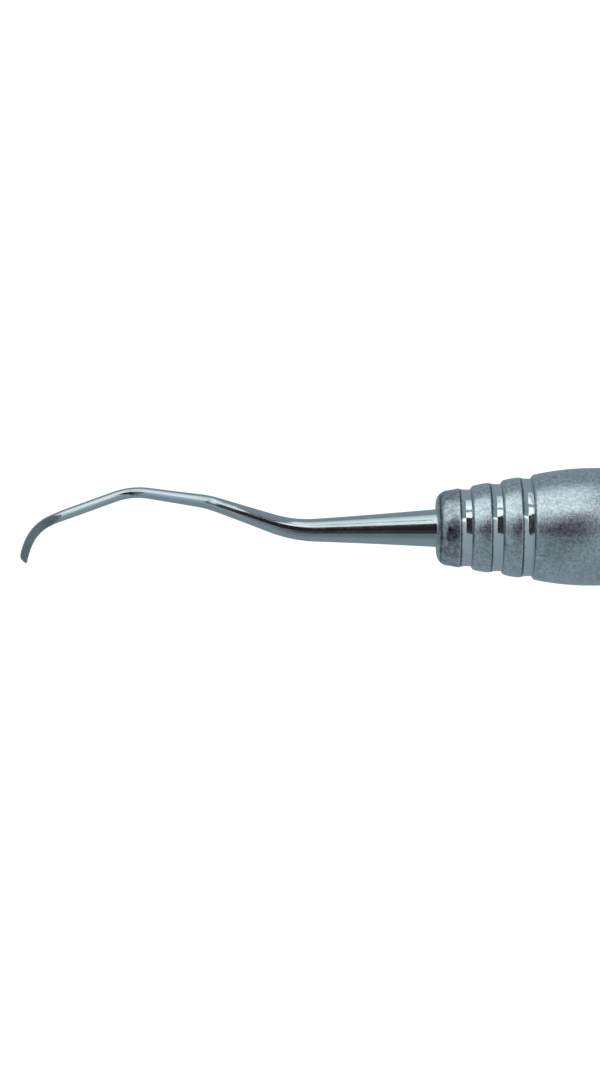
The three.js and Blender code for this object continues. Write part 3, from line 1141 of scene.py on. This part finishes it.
# %% Lens flag, pole and end flag
FLAG_HEIGHT = 0.45
LENS_FLAG_TONE = (0.022, 0.016, 0.020)
POLE_TONE = (0.06, 0.08, 0.09)
END_FLAG_TONE = (0.08, 0.10, 0.11)
END_FLAG_AT = -0.8
END_FLAG_FOOT = -0.004
END_FLAG_TOP = 0.3
flag(
    "lens_flag",
    [
        (0.030, 0.262, FLAG_HEIGHT),
        (-0.12, 0.24, FLAG_HEIGHT),
        (-0.125, 0.17, FLAG_HEIGHT),
        (-0.147, 0.10, FLAG_HEIGHT),
        (-0.17, 0.04, FLAG_HEIGHT),
        (-0.22, 0.0, FLAG_HEIGHT),
        (-0.22, -0.16, FLAG_HEIGHT),
        (-0.14, -0.16, FLAG_HEIGHT),
        (-0.108, -0.13, FLAG_HEIGHT),
        (-0.113, -0.17, FLAG_HEIGHT),
        (-0.155, -0.31, FLAG_HEIGHT),
        (-0.045, -0.31, FLAG_HEIGHT),
        (-0.045, -0.15, FLAG_HEIGHT),
        (-0.01, -0.14, FLAG_HEIGHT),
        (0.005, -0.06, FLAG_HEIGHT),
    ],
    LENS_FLAG_TONE,
)
flag(
    "pole",
    [
        (-0.270, -0.12, FLAG_HEIGHT),
        (-0.245, -0.12, FLAG_HEIGHT),
        (-0.110, 0.42, FLAG_HEIGHT),
        (-0.135, 0.42, FLAG_HEIGHT),
    ],
    POLE_TONE,
)
flag(
    "end_flag",
    [
        (END_FLAG_AT, -0.5, END_FLAG_FOOT),
        (END_FLAG_AT, 0.3, END_FLAG_FOOT),
        (END_FLAG_AT, 0.3, END_FLAG_TOP),
        (END_FLAG_AT, -0.5, END_FLAG_TOP),
    ],
    END_FLAG_TONE,
)

# %% [markdown]
# The part lies on a big round sheet of white paper. It glows by itself, so that it stays
# white right up to the steel and shadows stay faint. The steel doesn't see it.

# %% White paper floor
FLOOR_RADIUS = 6
FLOOR_SIDES = 64
FLOOR_DROP = 0.00005
PAPER_GLOW = 0.97


def sheet_below(name, drop):
    """A round sheet a little below the part."""
    bpy.ops.object.select_all(action="DESELECT")
    bpy.ops.mesh.primitive_circle_add(
        vertices=FLOOR_SIDES,
        radius=FLOOR_RADIUS,
        fill_type="NGON",
        location=(0, 0, cad_low.z - drop),
    )
    sheet = bpy.context.object
    sheet.name = name
    print(name, "lies", drop / MM, "mm below the part")
    return sheet


floor = sheet_below("floor", FLOOR_DROP)
floor.visible_glossy = False
paper = Finish(bpy.data.materials.new("paper"))
surface = paper.node(
    "ShaderNodeBsdfPrincipled",
    None,
    {
        "Base Color": (0.5, 0.5, 0.5, 1),
        "Roughness": 1.0,
        "Specular IOR Level": 0.0,
        "Emission Color": (1, 1, 1, 1),
        "Emission Strength": PAPER_GLOW,
    },
)
paper.node("ShaderNodeOutputMaterial", None, {"Surface": surface})
floor.data.materials.append(paper.material)

# %% [markdown]
# From a low angle the lens looks past the edge of the floor. A white wall stands there, an
# open cylinder that only the lens can see.

# %% Wall
WALL_HEIGHT = 8
bpy.ops.mesh.primitive_cylinder_add(
    vertices=FLOOR_SIDES,
    radius=FLOOR_RADIUS,
    depth=WALL_HEIGHT,
    end_fill_type="NOTHING",
    location=(0, 0, WALL_HEIGHT / 2 + cad_low.z),
)
wall = bpy.context.object
wall.name = "wall"
wall.data.materials.append(glow("wall_tone", (1, 1, 1)))
for ray in ("visible_glossy", "visible_diffuse", "visible_shadow"):
    setattr(wall, ray, False)
print("the wall stands", FLOOR_RADIUS, "m away")

# %% [markdown]
# In place of the white paper the steel sees a darker sheet just below it, which keeps the
# undersides grey, and the sky gives the soft grey light that is left.

# %% Dark floor and sky
DARK_FLOOR_DROP = 0.0002
DARK_FLOOR_TONE = (0.26, 0.335, 0.38)
SKY = (0.25, 0.33, 0.38, 1)
dark_floor = sheet_below("floor_for_steel", DARK_FLOOR_DROP)
dark_floor.data.materials.append(glow("floor_tone", DARK_FLOOR_TONE))
seen_by_steel_only(dark_floor)

world = bpy.data.worlds.new("studio")
world.use_nodes = True
background = world.node_tree.nodes["Background"]
background.inputs["Color"].default_value = SKY
background.inputs["Strength"].default_value = 1.0
bpy.context.scene.world = world

# %% [markdown]
# ## The camera
# A long lens looks straight down on the front half of the instrument, aimed 11.6 mm ahead of
# the nose face and a touch below the axis. It is rolled by half a degree.

# %% Camera
FIELD_HEIGHT = 90.7
LENS = 100
SENSOR = 36
AIM_AHEAD = 11.56
AIM_BELOW = 0.40
ROLL = -0.49
NEAREST, FARTHEST = 0.01, 20
lens = bpy.data.cameras.new("camera")
lens.lens = LENS
lens.sensor_width = SENSOR
lens.clip_start = NEAREST
lens.clip_end = FARTHEST
camera = bpy.data.objects.new("camera", lens)
bpy.context.scene.collection.objects.link(camera)
distance = FIELD_HEIGHT * MM * LENS / SENSOR
camera.location = (front_nose - AIM_AHEAD * MM, -AIM_BELOW * MM, distance)
camera.rotation_euler = (0, 0, math.radians(ROLL))
bpy.context.scene.camera = camera
bpy.context.scene.view_settings.view_transform = "Standard"
print("the camera hangs", round(distance, 3), "m above the axis")

# %% [markdown]
# ## Measure and finish
# Last, the box of the CAD is printed.

# %% Sizes and finish
print("CAD box", list(cad_low), list(cad_high))
